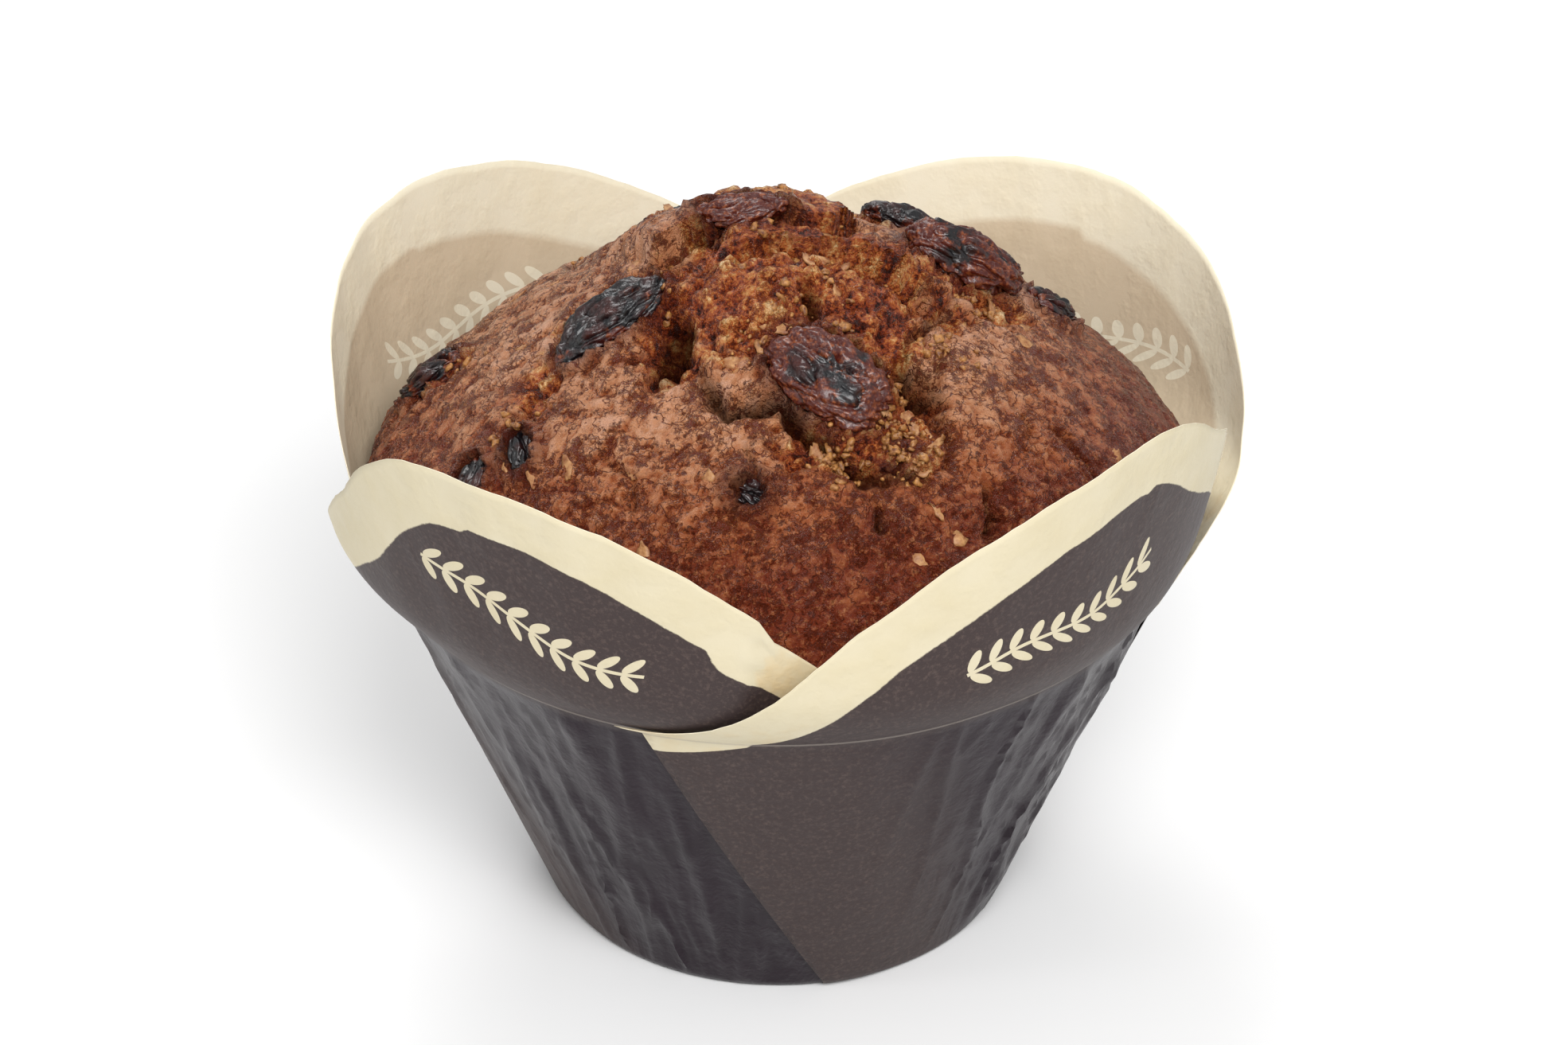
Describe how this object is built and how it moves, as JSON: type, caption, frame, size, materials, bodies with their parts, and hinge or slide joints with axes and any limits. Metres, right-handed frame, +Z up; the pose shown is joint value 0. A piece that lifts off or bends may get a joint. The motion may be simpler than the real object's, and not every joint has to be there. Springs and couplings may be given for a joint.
{
  "type": "raisin bran muffin in a folded paper liner",
  "caption": "Domed bran muffin with raisins, baked in a pleated tulip-shaped paper liner whose petals stand above the crease; stands on its flat base.",
  "frame": {"origin": "centre of the liner's flat base, on the surface that the muffin stands on", "axes": "+Z up through the dome; -Y faces the corner where the two front petals overlap; +X is to the right when the front is seen"},
  "size_m": [0.0977, 0.0994, 0.0828],
  "materials": {
    "baked_crumb": null,
    "liner_paper": "greaseproof paper, printed matte dark brown outside with an unprinted cream border, plain cream inside",
    "raisin_fruit": "wrinkled, sticky dried-fruit skin, dark red-brown to black, glossy on its folds"
  },
  "bodies": {
    "root": {"muffin_crumb": "baked_crumb", "paper_liner": "liner_paper", "raisin_left_edge": "raisin_fruit", "raisin_upper_left": "raisin_fruit", "raisin_small_left": "raisin_fruit", "raisin_lower_left": "raisin_fruit", "raisin_centre": "raisin_fruit", "raisin_top_right": "raisin_fruit", "raisin_front": "raisin_fruit", "raisin_crown": "raisin_fruit", "raisin_right_edge": "raisin_fruit", "raisin_in_crack": "raisin_fruit", "raisin_back_left": "raisin_fruit", "raisin_back": "raisin_fruit", "raisin_back_right": "raisin_fruit"}
  },
  "joints": []
}
